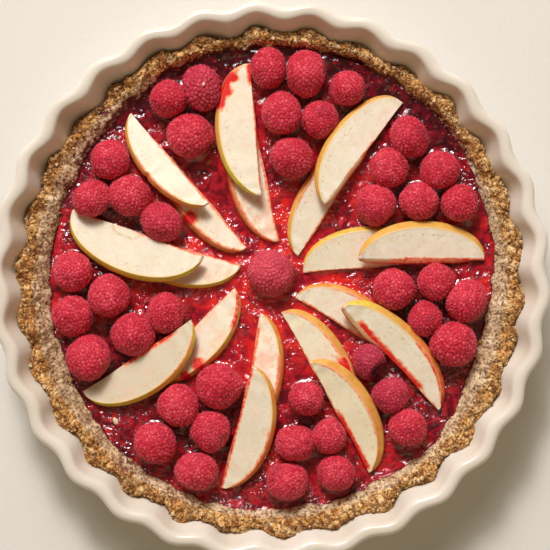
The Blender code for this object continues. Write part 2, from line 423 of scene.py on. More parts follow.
def apple_material():
    """Cream apple flesh with its skin, and red where the jelly has soaked in."""
    mat = Shader("apple_flesh_and_skin", IOR=1.4)
    wash = mat.ragged("wash", mat.noise(6.0), 0.3, 0.35, 0.65)
    vein = mat.times(mat.span(mat.noise(1.4, 2.0), 0.54, 0.66), mat.plus(mat.tone("vein"), 0.15))
    flesh = mat.paint(
        mat.ramp(mat.noise(5.0, 3.0, 0.6, 0.3), (0.93, 0.82, 0.64), (0.3, 0.7, (0.99, 0.92, 0.79))),
        (mat.span(mat.noise(1.3, 5.0, 0.65, 0.6), 0.36, 0.64, 0.0, 0.22), 1, (0.88, 0.73, 0.46)),
        (mat.tone("green"), 0.8, (0.88, 0.77, 0.46)),
        # Painted shade: a darker flesh share given slice by slice, most on the west and south-west slices
        (mat.tone("painted_flesh_shade"), 1, (0.60, 0.50, 0.36)),
        (mat.span(wash, 0.15, 1.0), 0.7, (0.93, 0.50, 0.34)),
        (vein, 0.5, (0.62, 0.45, 0.20)),
        (mat.tone("line"), 1, (0.60, 0.42, 0.15)),
        (mat.tone("rim"), 0.75, (0.90, 0.64, 0.30)),
    )
    skin = mat.ramp(
        mat.ragged("blush", mat.noise(5), 0.1),
        (0.76, 0.67, 0.070),
        (0.0, 0.35, (0.80, 0.44, 0.095)),
        (0.4, 0.7, (0.78, 0.22, 0.045)),
        (0.7, 1.0, (0.60, 0.035, 0.018)),
    )
    skin = mat.paint(
        skin,
        (mat.span(mat.cells(2.4), 0.14, 0.07, 0.0, 0.3), 1, (0.88, 0.66, 0.32)),
        (mat.span(mat.noise(1.6, 4.0, 0.7), 0.35, 0.65, 0.25, 0.0), 1, (0.50, 0.24, 0.03)),
    )
    colour = mat.ramp(
        mat.ragged("stain", mat.noise(2.4, 4.0, 0.55), 0.2),
        # The core side's cut face is painted shade, warmed orange as by light bounced from the jelly
        mat.paint(flesh, (mat.tone("side"), 1, (0.66, 0.40, 0.17)), (mat.tone("skin"), 1, skin)),
        (0.08, 0.50, (0.93, 0.38, 0.19)),
        (0.42, 0.95, (0.74, 0.022, 0.018)),
    )
    mat.bump(mat.noise(0.7, 4.0), 0.5, 0.22)
    mat.bump(mat.cells(1.2), 0.2, 0.12)
    return mat.finish(
        Base_Color=colour, Roughness=0.40, Specular_IOR_Level=0.4, Coat_Weight=0.12,
        Coat_Roughness=0.2, Subsurface_Weight=0.1, Subsurface_Radius=(1.0, 0.7, 0.4),
        Subsurface_Scale=0.0012,
    )


GLAZE = glaze_material()
CRUST = crust_material()
CRUMB = crumb_material()
JELLY = jelly_material()
BERRY = berry_material()
DOWN = down_material()
FLAKE = flake_material()
APPLE = apple_material()


# --- the dish

FLUTES = 30
FIRST_FLUTE = math.radians(9)
FLUTE_SWING = 2.0
DISH_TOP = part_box("tart_dish")[1].z / MM
DISH_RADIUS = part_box("tart_dish")[1].x / MM / math.cos(math.radians(3)) - 1.5

# The wall's section: radius out from the flutes' mean line at the rim, height below the rim, and share
# of the flutes' swing. It runs from the floor inside, over the rim and down to the foot ring.
DISH_SECTION = (
    (-138.5, -36.0, 0), (-60, -36.0, 0), (-27.5, -36.0, 0), (-24.2, -35.4, 0.1),
    (-21.0, -33.0, 0.7), (-19.3, -30.5, 1), (-13.6, -17.5, 1), (-8.2, -5.4, 1), (-6.9, -2.2, 0.9),
    (-5.6, -0.5, 0.8), (-3.3, 0.1, 0.75), (-1.2, -0.3, 0.75), (0.1, -2.0, 0.75), (-0.2, -4.2, 0.78),
    (-1.8, -5.4, 0.9), (-3.3, -7.5, 1), (-7.8, -17.5, 1), (-12.6, -28.0, 1), (-15.6, -35.0, 0.8),
    (-18.0, -39.6, 0.3), (-19.6, -41.4, 0.1), (-21.2, -42.0, 0), (-25.6, -42.0, 0),
    (-27.0, -41.0, 0), (-28.4, -40.8, 0), (-60, -40.8, 0), (-138.5, -40.8, 0),
)


def swing(bearing):
    """How far the flutes stand out at a bearing, in millimetres."""
    return FLUTE_SWING * np.cos(FLUTES * (bearing - FIRST_FLUTE))


def wall_inside(bearing, height):
    """The inner radius of the dish's wall, at bearings and heights."""
    inner = np.array(DISH_SECTION[2:11])
    radius = DISH_RADIUS + np.interp(height - DISH_TOP, inner[:, 1], inner[:, 0])
    share = np.interp(height - DISH_TOP, inner[:, 1], inner[:, 2])
    return radius + share * swing(bearing)


def make_dish():
    """The dish, with round flutes, a rolled rim and a bare foot ring."""
    section = rounded(DISH_SECTION)
    steps = FLUTES * 24
    bearing = np.arange(steps) / steps * math.tau
    radius = np.maximum(DISH_RADIUS + section[:, :1], 0.05) + section[:, 2:] * swing(bearing)
    height = np.repeat(DISH_TOP + section[:, 1:2], steps, axis=1)
    points = polar(radius, bearing, height).reshape(-1, 3)
    wave = np.tile(swing(bearing) / FLUTE_SWING, len(section))
    high = points[:, 2]
    spread = np.hypot(points[:, 0], points[:, 1])
    rim = smooth(DISH_TOP - 1.4, DISH_TOP - 0.2, high)
    # The rim's top has thin glaze; the flutes' crests below it are painted shade in the hollows inside the
    # wall and thin glaze on the ridges outside
    thin_glaze_and_flute_shade = rim * 0.5 + 0.35 * smooth(0.2, 1.0, wave) * (spread > 118) * (high < DISH_TOP - 3)
    tones = {"thin_glaze_and_flute_shade": thin_glaze_and_flute_shade, "bare": smooth(1.4, 0.5, high) * smooth(108, 111, spread)}
    faces = tube_faces(len(section), steps, flipped=True)
    add_piece("fluted_dish", points, faces, GLAZE, "tart_dish", tones)


# --- the crust

JELLY_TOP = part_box("fruit_jelly")[1].z / MM
JELLY_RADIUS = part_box("fruit_jelly")[1].x / MM
CRUST_STEPS = 1500
CRUST_GRID = 0.5  # mm between the rings of the rough part
CLUMPY_BEARING = 137  # degrees, where the crust is lumpiest and stands off the wall
SOAKED_SPOT = (-74, -93)  # where jelly has run up over the crust
CRUMBS = 3400
STRAY_CRUMBS = 130

# The crust's section: radius out from the jelly's edge, height above the jelly, share of the flutes'
# swing, and how rough it is. It runs from under the jelly, up the slope, over the top and down the wall.
CRUST_SECTION = (
    (-114.0, -12.5, 0, 0), (-60, -12.5, 0, 0), (-7.5, -12.5, 0, 0), (-5.2, -9.0, 0, 0),
    (-3.0, -3.6, 0, 0.4), (-1.3, -0.6, 0, 0.6), (0.2, 1.8, 0.1, 0.6), (2.2, 4.0, 0.2, 0.6),
    (4.6, 5.7, 0.4, 0.9), (6.6, 6.7, 0.6, 1), (8.8, 6.7, 0.8, 1), (10.2, 5.6, 0.95, 1),
    (11.0, 3.8, 1, 1), (11.0, 1.0, 1, 0.6), (9.0, -5.0, 1, 0.1), (4.2, -13.6, 1, 0),
    (0.8, -17.3, 0.2, 0), (-60, -17.9, 0, 0), (-114.0, -17.9, 0, 0),
)

# How far the crust's inner edge stands out from the jelly's mean edge, in mm, at bearings in degrees
CRUST_INSIDE = (
    (0, -3), (20, 0.5), (32, 2), (46, 4), (75, 2.5), (105, 3), (120, 0.5), (138, -3.2),
    (165, -4), (210, -3.5), (238, 0.5), (300, -0.2), (316, 1.5), (331, -5), (360, -3),
)


def crust_points():
    """The crust's rough surface, and the look of it at each point."""
    section = np.array(CRUST_SECTION)
    fine = [section[:4]]
    for first, second in zip(section[3:15], section[4:16]):
        grid = CRUST_GRID if min(first[3], second[3]) > 0.3 else 4 * CRUST_GRID
        count = max(1, round(float(np.hypot(*(second - first)[:2])) / grid))
        fine.append(first + (second - first) * (np.arange(1, count + 1) / count)[:, None])
    fine.append(section[16:])
    line = np.concatenate(fine)
    bearing = np.arange(CRUST_STEPS) / CRUST_STEPS * math.tau
    rough = np.repeat(line[:, 3:4], CRUST_STEPS, axis=1).ravel()
    radius = JELLY_RADIUS + line[:, :1] + line[:, 2:3] * swing(bearing)
    height = JELLY_TOP + np.repeat(line[:, 1:2], CRUST_STEPS, axis=1)
    around = np.tile(bearing, len(line))
    radius, height = radius.ravel(), height.ravel()
    # The inner slope is narrow and steep at the back, and wide at the sides
    slope = smooth(JELLY_RADIUS + 8, JELLY_RADIUS, radius) * (rough > 0)
    radius = radius + slope * np.interp(np.degrees(around), *np.array(CRUST_INSIDE).T)
    flat = polar(radius, around, height)
    radius = radius + slope * 0.9 * ripple(flat, 24, 11)
    # Big uneven lumps, then pebbly chunks, then grit, all pushed out from the crust's core line
    warped = flat + 1.2 * np.stack([ripple(flat, 3.0, seed) for seed in (31, 32, 33)], axis=1)
    clumpy = np.exp(-(((np.degrees(around) - CLUMPY_BEARING) / 24) ** 2))
    lump = (ripple(flat, 14, 1) * 1.2 + ripple(flat, 6.5, 2) * 2.2) * (1 + 0.5 * clumpy)
    near, following, tint = pebbles(warped, 4.4, 3)
    chunk = np.sqrt(np.clip(1 - near, 0, 1)) - 0.45
    small, small_next, small_tint = pebbles(warped, 1.9, 7)
    grit = np.sqrt(np.clip(1 - small, 0, 1)) - 0.45
    sharp = rough**2
    # The baked edge shrinks back from the wall here and there
    outside = smooth(JELLY_RADIUS + 8, JELLY_RADIUS + 11, radius) * sharp
    radius = radius - outside * (0.7 + 1.2 * clumpy + 1.6 * ripple(flat, 11, 12).clip(-0.4, 1))
    push = rough * lump + sharp * (chunk * 2.7 + grit * 1.1) + rough * ripple(flat, 0.9, 5) * 0.3
    core = np.array([JELLY_RADIUS + 5.5, JELLY_TOP - 1.0])
    out = np.stack([radius - core[0], height - core[1]], axis=1)
    out /= np.linalg.norm(out, axis=1, keepdims=True) + 1e-9
    out[:, 1] = np.where(out[:, 1] > 0, out[:, 1], 0)
    radius = radius + push * out[:, 0]
    height = height + push * out[:, 1]
    limit = wall_inside(around, height) - 0.25
    radius = np.where(height > JELLY_TOP - 9, np.minimum(radius, limit), radius)
    points = polar(radius, around, height)
    # Painted shade in the crevices between chunks and between grains of grit, fading where the crust is
    # held at the wall
    painted_crevice_shade = smooth(0.17, 0.03, following - near) + smooth(0.14, 0.0, small_next - small) * 0.45
    painted_crevice_shade = np.clip(painted_crevice_shade, 0, 1) * (0.25 + 0.75 * sharp) * smooth(0.0, 0.8, limit - radius)
    toast = smooth(JELLY_RADIUS + 1.5, JELLY_RADIUS + 5.5, radius) + ripple(flat, 18, 9) * 0.25
    above = height - JELLY_TOP
    # On the north, whose inner slope faces away from the light, the dark soak reaches higher: partly jelly
    # stain, partly painted shade
    back = smooth(0.1, 0.9, np.sin(around))
    soak = np.maximum(smooth(1.9, 0.5, above), 0.85 * back * smooth(5.0, 2.6, above))
    soak = soak * (radius < JELLY_RADIUS + 7)
    away = np.hypot(*(points[:, :2] - SOAKED_SPOT).T)
    spill = smooth(12, 4, away) * smooth(JELLY_RADIUS + 9, JELLY_RADIUS + 4, radius)
    soak = np.maximum(soak, 0.45 * spill)
    # The bearing terms are painted light: the east side lighter, the west side darker, and the north and
    # south sides lighter
    tint = 0.6 * tint + 0.4 * small_tint + 0.15 * np.cos(around) + 0.14 * np.sin(around) ** 2 - 0.05
    look = {"toast": toast, "soak": soak.clip(0, 1), "painted_crevice_shade": painted_crevice_shade, "tint": tint, "rough": sharp}
    return len(line), points, look


def make_crust():
    rings, points, tones = crust_points()
    add_piece("baked_crust", points, tube_faces(rings, CRUST_STEPS), CRUST, "crust", tones)
    return points, tones


def chunk_shapes():
    """Unit balls of twelve and of forty-two points, as points and triangles."""
    shapes = []
    for divisions in (1, 2):
        ball = bmesh.new()
        bmesh.ops.create_icosphere(ball, subdivisions=divisions, radius=1.0)
        points = np.array([vert.co for vert in ball.verts])
        faces = np.array([[vert.index for vert in face.verts] for face in ball.faces])
        shapes.append((points, faces))
        ball.free()
    return shapes


def uneven(shape, amount, rng):
    """The shape with each of its points pushed in or out a little."""
    return shape * (1 + amount * rng.normal(size=(len(shape), 1)).clip(-1.5, 1.5))


def turn(rng):
    """A random rotation."""
    matrix, _ = np.linalg.qr(rng.normal(size=(3, 3)))
    return matrix * np.sign(np.linalg.det(matrix))


def make_crumbs(surface, looks):
    """Chunks of nut and oat that stand out of the crust's top, as one mesh of many small solids."""
    rng = np.random.default_rng(5)
    small, large = chunk_shapes()
    radius = np.hypot(surface[:, 0], surface[:, 1])
    top = (surface[:, 2] > JELLY_TOP + 1.5) & (radius < JELLY_RADIUS + 13)
    weight = top * (0.12 + np.clip(looks["toast"], 0, 1))
    picked = rng.choice(len(surface), size=CRUMBS, replace=False, p=weight / weight.sum())
    spots = [(surface[index], looks["soak"][index] * 0.8) for index in picked]
    # A few have rolled down onto the jelly's edge
    for _ in range(STRAY_CRUMBS):
        bearing = rng.random() * math.tau
        spots.append((polar(JELLY_RADIUS - 5 * rng.random() ** 2, bearing, JELLY_TOP + 0.5), 0.5))
    bits = []
    for number, (spot, soak) in enumerate(spots):
        shape, triangles = large if number % 3 == 0 else small
        size = 0.45 + 0.9 * rng.random() ** 3 if number % 3 == 0 else 0.22 + 0.6 * rng.random() ** 2
        if number >= CRUMBS:
            size = 0.3 + 0.4 * rng.random()
        stretch = np.array([1.0, 0.75 + 0.25 * rng.random(), 0.6 + 0.35 * rng.random()])
        body = uneven(shape, 0.22, rng) * stretch * size
        body = body @ turn(rng).T + spot + [0, 0, size * 0.15]
        limit = wall_inside(np.arctan2(body[:, 1], body[:, 0]), body[:, 2]) - 0.15
        body[:, :2] *= np.minimum(1.0, limit / np.hypot(body[:, 0], body[:, 1]))[:, None]
        bits.append((body, triangles, {"tint": rng.random(), "soak": soak}))
    add_bits("crust_crumbs", bits, CRUMB, smooth_faces=False)


# --- the fruit's places


class Berry:
    """A raspberry's place, read from the ring and the tip of its CAD solid."""

    def __init__(self, name, node, tip, ring, base):
        self.name = name
        self.node = node
        self.place = tip[:2]
        self.base = base
        self.height = tip[2] - base
        arms = ring[:, :2] - self.place
        reach = np.linalg.norm(arms, axis=1)
        self.length = 2 * reach.max()
        self.width = 2 * reach.min()
        self.bearing = math.atan2(arms[reach.argmax(), 1], arms[reach.argmax(), 0])
        self.turn = level_turn(self.bearing)


def read_berries():
    """Every raspberry, with both of those in a node that holds two."""
    berries = []
    for node in sorted(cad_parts):
        if not node.startswith("raspberry"):
            continue
        points = node_points(node)
        base = points[:, 2].min()
        apart = np.linalg.norm(points[:, None, :2] - points[None, :, :2], axis=2)
        higher = (points[None, :, 2] > points[:, None, 2] + 0.01) & (apart < 7)
        tips = points[~higher.any(axis=1)]
        tips = tips[np.argsort(tips[:, 0])]
        for number, tip in enumerate(tips):
            level = base + 0.34 * (tip[2] - base)
            ring = points[np.abs(points[:, 2] - level) < 0.05]
            away = np.linalg.norm(ring[:, None, :2] - tips[None, :, :2], axis=2)
            ring = ring[away.argmin(axis=1) == number]
            name = f"{node}_berry" if len(tips) == 1 else f"{node}_berry_{'ab'[number]}"
            berries.append(Berry(name, node, tip, ring, base))
    return berries


class Slice:
    """An apple slice's place: its tips, its width and the directions of its three sides."""

    def __init__(self, node):
        self.node = node
        points = node_points(node)
        gaps = np.linalg.norm(points[:, None] - points[None], axis=2)
        ends = [points[gaps[i] < 2.2].mean(axis=0) for i in np.unravel_index(gaps.argmax(), gaps.shape)]
        inner, outer = sorted(ends, key=lambda end: float(np.hypot(*end[:2])))
        self.length = float(np.linalg.norm(outer - inner))
        self.along = unit(outer - inner)
        self.across = unit(np.cross([0, 0, 1.0], self.along))
        self.up = np.cross(self.along, self.across)
        self.middle = (inner + outer) / 2 - self.up
        self.width = float(((points - self.middle) @ self.across).max()) - 0.9
        self.skin = float(((points - self.middle) @ self.up).max())

    def world(self, local):
        """Points along, across and up from the middle of the core side, as points in the frame."""
        return self.middle + local @ np.stack([self.along, self.across, self.up])


BERRIES = read_berries()
SLICES = [Slice(node) for node in sorted(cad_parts) if node.startswith("apple")]


# --- the jelly

JELLY_RINGS = 172

# Small pale things on the tart: x, y, height over the jelly, length and width in mm, bearing in degrees,
# and how much the jelly has stained them
FLAKES = (
    (-78, -70.5, 0.9, 4.4, 2.6, 120, 0.0),
    (-33, 98, 17.9, 2.3, 1.4, 80, 0.0),
    (-63, -88, 0.8, 2.0, 1.2, 30, 0.4),
    (47, 76.5, 0.7, 1.9, 1.2, 60, 0.4),
    (88, 22, 0.7, 2.0, 1.1, 10, 0.5),
    (-14, -22, 0.7, 1.8, 1.1, 150, 0.5),
    (21, 24, 0.7, 1.9, 1.1, 35, 0.5),
    (-108, 12, 0.8, 1.8, 1.2, 75, 0.3),
    (44, -92, 0.7, 1.9, 1.2, 100, 0.5),
)


def jelly_height(flat):
    """The jelly's surface at (x, y): pulpy, and drawn up where it meets fruit and crust."""
    points = np.column_stack([flat, np.zeros(len(flat))])
    near = pebbles(points, 4.2, 21)[0]
    tiny = pebbles(points, 2.0, 25)[0]
    height = JELLY_TOP - 0.1 + 0.35 * ripple(points, 11, 20) + 0.25 * ripple(points, 4.5, 24)
    height += 0.75 * np.clip(1 - near * 1.35, 0, 1) ** 0.8 * smooth(-0.1, 0.6, ripple(points, 16, 22))
    height += 0.4 * np.clip(1 - tiny * 1.4, 0, 1) ** 0.7 * smooth(-0.3, 0.4, ripple(points, 9, 23))
    for berry in BERRIES:
        arm = flat - berry.place
        local = arm @ berry.turn[:2, :2].T
        away = np.linalg.norm(local / [berry.length / 2, berry.width / 2], axis=1) - 0.93
        height += 1.3 * np.exp(-np.clip(away * berry.width / 2, 0, None) / 1.2)
    for piece in SLICES:
        if piece.node.endswith("inner"):
            arm = np.column_stack([flat, np.full(len(flat), JELLY_TOP)]) - piece.middle
            x, y = arm @ piece.along, arm @ piece.across
            inside = (x / (piece.length / 2)) ** 2 + (np.maximum(y, 0) / piece.width) ** 2
            side = np.maximum((np.sqrt(inside) - 1) * piece.width * 0.9, np.maximum(-y, 0))
            height += 0.8 * np.exp(-np.clip(side, 0, None) / 1.2)
    edge = JELLY_RADIUS - np.hypot(flat[:, 0], flat[:, 1])
    return height + 0.9 * np.exp(-np.clip(edge, 0, None) / 1.6)


def disc(rings, radius):
    """A round net of near-equal triangles: ring number n has 6n points."""
    points = [np.zeros((1, 2))]
    for n in range(1, rings + 1):
        bearing = np.arange(6 * n) / (6 * n) * math.tau
        points.append(np.stack([np.cos(bearing), np.sin(bearing)], axis=1) * radius * n / rings)
    faces = [(0, 1 + k, 1 + (k + 1) % 6) for k in range(6)]
    for n in range(2, rings + 1):
        inner, outer = 1 + 3 * (n - 1) * (n - 2), 1 + 3 * n * (n - 1)
        sixth = np.repeat(np.arange(6), n)
        step = np.tile(np.arange(n), 6)
        a = outer + sixth * n + step
        b = outer + (sixth * n + step + 1) % (6 * n)
        c = inner + (sixth * (n - 1) + step) % (6 * (n - 1))
        faces += np.stack([c, a, b], axis=1).tolist()
        more = step > 0
        d = inner + (sixth * (n - 1) + step - 1) % (6 * (n - 1))
        faces += np.stack([d, a, c], axis=1)[more].tolist()
    return np.concatenate(points), faces


def make_jelly():
    radius = JELLY_RADIUS + 3.4
    flat, faces = disc(JELLY_RINGS, radius)
    points = np.column_stack([flat, jelly_height(flat)])
    spread = np.hypot(flat[:, 0], flat[:, 1])
    # Painted shadow along the far (north) edge, where the dish's wall and the crust shade the jelly from
    # the light
    painted_far_shadow = smooth(JELLY_RADIUS - 18, JELLY_RADIUS - 4, spread) * smooth(0.1, 0.7, flat[:, 1] / radius)
    red_tone_and_shadow = 0.22 + 0.36 * smooth(85, 15, spread) + 0.45 * ripple(points, 18, 30) - 0.65 * painted_far_shadow
    # A skirt goes down from its edge and a flat face closes it below
    edge = np.arange(6 * JELLY_RINGS)
    rim = 1 + 3 * JELLY_RINGS * (JELLY_RINGS - 1) + edge
    skirt = len(points) + edge
    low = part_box("fruit_jelly")[0].z / MM
    foot = np.column_stack([flat[rim] * (109 / radius), np.full(len(rim), low)])
    faces += np.stack([rim, skirt, np.roll(skirt, -1), np.roll(rim, -1)], axis=1).tolist()
    faces.append(skirt[::-1].tolist())
    points = np.concatenate([points, foot])
    tones = {"red_tone_and_shadow": np.concatenate([red_tone_and_shadow, np.zeros(len(foot))])}
    add_piece("red_jelly", points, faces, JELLY, "fruit_jelly", tones)


def make_flakes():
    """An oat flake and a few raspberry seeds, in one mesh."""
    rng = np.random.default_rng(12)
    shape, triangles = chunk_shapes()[1]
    bits = []
    for x, y, above, length, width, bearing, soak in FLAKES:
        body = uneven(shape, 0.12, rng) * [length / 2, width / 2, 0.45]
        body = body @ level_turn(math.radians(bearing)) + [x, y, JELLY_TOP + above]
        bits.append((body, triangles, {"soak": soak}))
    add_bits("oat_and_seeds", bits, FLAKE)


# --- the raspberries

DRUPELETS = (300, 315, 330, 345)
DOME_HEIGHT = 0.34  # of a drupelet, over its half width
HAIRS = 150  # to a berry
HAIR_THICKNESS = 0.065  # mm

# lie is how far the tip leans towards the berry's bearing (1 lies flat), turn swings and tilt raises it,
# knob is the drupelets' height, dull and bloom are shares of dark and of pink, sink is how deep it sits
# in mm, and hollow opens its end and darkens it with painted shade.
PLAIN_BERRY = dict(lie=0.0, turn=0.0, tilt=0.0, knob=1.0, dull=0.0, bloom=0.0, sink=0.0, hollow=0.0)
BERRY_LOOKS = {
    "raspberry_centre_1_berry": dict(bloom=0.32, sink=3.0),
    "raspberry_northwest_1_and_2_berry_b": dict(knob=1.5, dull=0.22, lie=0.4),
    "raspberry_west_4_berry": dict(lie=1.0, dull=0.1),
    "raspberry_southeast_1_berry": dict(lie=1.0, dull=0.42, hollow=1.0, turn=3.3, tilt=-0.5),
    "raspberry_southeast_2_berry": dict(dull=0.25),
    "raspberry_north_2_berry": dict(lie=0.7),
    "raspberry_south_southeast_4_berry": dict(lie=1.0),
    "raspberry_east_3_berry": dict(lie=0.5),
}


def sphere_net(count, rng):
    """Scattered directions, and for each the ring of corners of its cell on the sphere."""
    n = np.arange(count) + 0.5
    z = 1 - 2 * n / count
    bearing = n * math.pi * (3 - math.sqrt(5))
    ring = np.sqrt(1 - z * z)
    points = unit(polar(ring, bearing, z) + rng.normal(size=(count, 3)) * 0.26 / math.sqrt(count))
    hull = bmesh.new()
    for point in points:
        hull.verts.new(point)
    bmesh.ops.convex_hull(hull, input=hull.verts)
    bmesh.ops.triangulate(hull, faces=hull.faces)
    hull.verts.ensure_lookup_table()
    hull.verts.index_update()
    hull.faces.index_update()
    centres = np.array([face.calc_center_median().normalized() for face in hull.faces])
    cells = []
    for vert in hull.verts:
        normal = vert.co.normalized()
        faces = list(vert.link_faces)
        side = normal.orthogonal()
        other = normal.cross(side)
        middles = [face.calc_center_median() for face in faces]
        angles = [math.atan2(middle @ other, middle @ side) for middle in middles]
        cells.append([faces[i].index for i in np.argsort(angles)])
    hull.free()
    return points, centres, cells


def drupelet_mesh(count, rng, lowest=-2.0):
    """Directions, dome heights and faces of a ball covered in drupelets, before it is shaped.

    Each drupelet is a fan of rings from its centre to the crease that it shares with its neighbours.
    Those below lowest, which sit in the jelly, have no rings.
    """
    centres, corners, cells = sphere_net(count, rng)
    directions = [corners]
    dome = [np.zeros(len(corners))]
    owner = [np.full(len(corners), -1)]
    total = len(corners)
    middles = {}
    faces = []

    def add(points, level, number):
        nonlocal total
        directions.append(unit(points))
        dome.append(np.full(len(points), level))
        owner.append(np.full(len(points), number))
        total += len(points)
        return list(range(total - len(points), total))

    for number, cell in enumerate(cells):
        rim, edge = [], []
        for first, second in zip(cell, cell[1:] + cell[:1]):
            key = (min(first, second), max(first, second))
            if key not in middles:
                middles[key] = add((corners[first] + corners[second])[None], 0.0, -1)[0]
            rim += [first, middles[key]]
            edge += [corners[first], (corners[first] + corners[second]) / 2]
        arms = unit(np.array(edge)) - centres[number]
        reach = np.linalg.norm(arms, axis=1, keepdims=True)
        even = arms / reach * reach.mean()
        rings = [rim]
        if centres[number][2] > lowest:
            for share, roundness in ((0.74, 0.5), (0.40, 1.0)):
                ring = centres[number] + share * (arms * (1 - roundness) + even * roundness)
                rings.append(add(ring, math.sqrt(1 - share**2), number))
        peak = add(centres[number][None], 1.0, number)[0]
        for outer, inner in zip(rings, rings[1:]):
            faces += zip(outer, outer[1:] + outer[:1], inner[1:] + inner[:1], inner)
        last = rings[-1]
        faces += zip(last, last[1:] + last[:1], [peak] * len(last))
    return np.concatenate(directions), np.concatenate(dome), np.concatenate(owner), faces


def make_berry(berry, looks, net, rng):
    """One raspberry of many drupelets, shaped to its place. Returns hair roots and directions."""
    directions, dome, owner, faces = net
    tip = polar(looks["lie"], berry.bearing + looks["turn"], 1.05 - looks["lie"] + looks["tilt"])
    tip = unit(tip + rng.normal(size=3) * 0.16)
    side = unit(np.cross(tip, [0.3, 0.5, 0.8]))
    world = directions @ np.stack([side, np.cross(tip, side), tip])
    local = world @ berry.turn.T
    half = np.array([berry.length / 2 - 0.2, berry.width / 2 - 0.2, berry.height * 0.60])
    wobble = 1 + 0.085 * ripple(world * 10, 8, int(rng.integers(900)))
    wobble += 0.03 * ripple(world * 10, 3.5, int(rng.integers(900)))
    # The shoulders of a raspberry are a little fuller than an egg's, and its tip a little slimmer
    lift = directions[:, 2]
    wobble *= 1 - 0.05 * smooth(0.55, 1.0, lift) + 0.02 * smooth(0.6, 0.1, np.abs(lift))
    hollow = looks["hollow"] * smooth(-0.50, -0.82, lift)
    wobble *= 1 - 0.36 * hollow
    body = local * half * wobble[:, None]
    normal = unit(local / half)
    number = owner.max() + 2
    reach = math.sqrt(4 * math.pi / number) * 0.5 * half.mean()
    size = 1 + 0.22 * rng.normal(size=number).clip(-2, 2)
    body += normal * (dome * reach * DOME_HEIGHT * looks["knob"] * size[owner])[:, None]
    points = [*berry.place, berry.base + berry.height * 0.40 - looks["sink"]] + body @ berry.turn
    tint = 0.55 * rng.random(number)[owner]
    tint += 0.45 * (ripple(world * 10, 12, int(rng.integers(900))) * 0.5 + 0.5)
    tones = {"dome": dome, "tint": tint, "painted_hollow_shade": hollow, "dull": looks["dull"], "bloom": looks["bloom"]}
    add_piece(berry.name, points, faces, BERRY, berry.node, tones)
    peaks = dome > 0.999
    return points[peaks], normal[peaks] @ berry.turn


def make_berries():
    rng = np.random.default_rng(77)
    upright = [drupelet_mesh(count, np.random.default_rng(count), -0.4) for count in DRUPELETS]
    lying = drupelet_mesh(310, np.random.default_rng(8))
    knobbly = drupelet_mesh(230, np.random.default_rng(9))
    roots, ways = [], []
    for number, berry in enumerate(BERRIES):
        looks = {**PLAIN_BERRY, **BERRY_LOOKS.get(berry.name, {})}
        net = lying if looks["lie"] > 0 else upright[number % len(upright)]
        root, way = make_berry(berry, looks, knobbly if looks["knob"] > 1 else net, rng)
        upper = np.flatnonzero(way[:, 2] > 0.0)
        chosen = rng.choice(upper, size=min(HAIRS, len(upper)), replace=False)
        roots.append(root[chosen])
        ways.append(way[chosen])
    make_down(np.concatenate(roots), np.concatenate(ways), rng)


def make_down(roots, ways, rng):
    """The fine curved hairs that stand on the drupelets, as slim three-sided spikes in one mesh."""
    sides, rings = 3, 3
    peak = sides * rings
    pairs = [(side, (side + 1) % sides) for side in range(sides)]
    low, top = range(0, peak - sides, sides), peak - sides
    hair = [(k + a, k + b, k + sides + b, k + sides + a) for k in low for a, b in pairs]
    hair += [(top + a, top + b, peak) for a, b in pairs] + [(2, 1, 0)]
    points, faces = [], []
    for root, way in zip(roots, ways):
        bend = rng.normal(size=3)
        bend = unit(bend - way * (bend @ way))
        other = np.cross(way, bend)
        length = 0.9 + 0.9 * rng.random()
        faces += [[corner + len(points) for corner in face] for face in hair]
        for share in np.arange(rings) / rings:
            rise = length * share * (1 - 0.45 * share) - 0.1
            spot = root + way * rise + bend * length * 0.75 * share**2
            thick = HAIR_THICKNESS * (1 - 0.6 * share)
            for angle in np.arange(sides) * math.tau / sides:
                points.append(spot + thick * (bend * math.cos(angle) + other * math.sin(angle)))
        points.append(root + way * length * 0.55 + bend * length * 0.75)
    add_piece("raspberry_hairs", np.array(points), faces, DOWN, None)


# --- the apple slices

TOP_ROWS = 24
SKIN_ROWS = 9
SLICE_STATIONS = 100
CORE_THICKNESS = 2.0
SKIN_BULGE = 0.9
VEIN_DEPTH = 3.6  # the line of fine bundles lies this far under the skin
